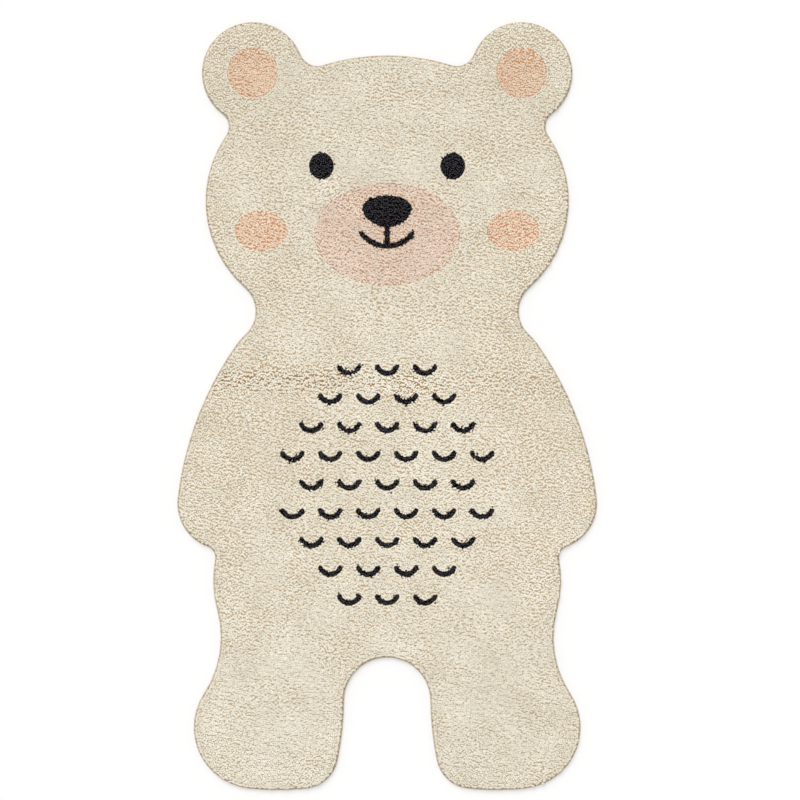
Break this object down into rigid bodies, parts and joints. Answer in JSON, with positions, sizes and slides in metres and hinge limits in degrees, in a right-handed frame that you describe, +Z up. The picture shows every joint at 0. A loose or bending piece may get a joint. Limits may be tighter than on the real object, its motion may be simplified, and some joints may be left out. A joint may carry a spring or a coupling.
{
  "type": "bear shaped rug",
  "caption": "Flat bear shaped rug for a child's room, with dense cut pile on a cotton ground cloth, a turned hem and a tufted face and tummy",
  "frame": {"origin": "on the floor under the middle of the rug", "axes": "+Z up out of the pile, +Y along the rug from the feet to the ears, +X across it"},
  "size_m": [0.82, 1.4999, 0.0123],
  "materials": {
    "cotton_cloth": "plain woven cotton, matt",
    "cream_pile": "natural cream cotton cut pile, matt",
    "charcoal_pile": "charcoal cotton cut pile, matt",
    "blush_pile": "pale blush cotton cut pile, matt",
    "apricot_pile": "apricot cotton cut pile, matt"
  },
  "bodies": {
    "root": {"ground_cloth": "cotton_cloth", "pile_field": "cream_pile"}
  },
  "joints": []
}
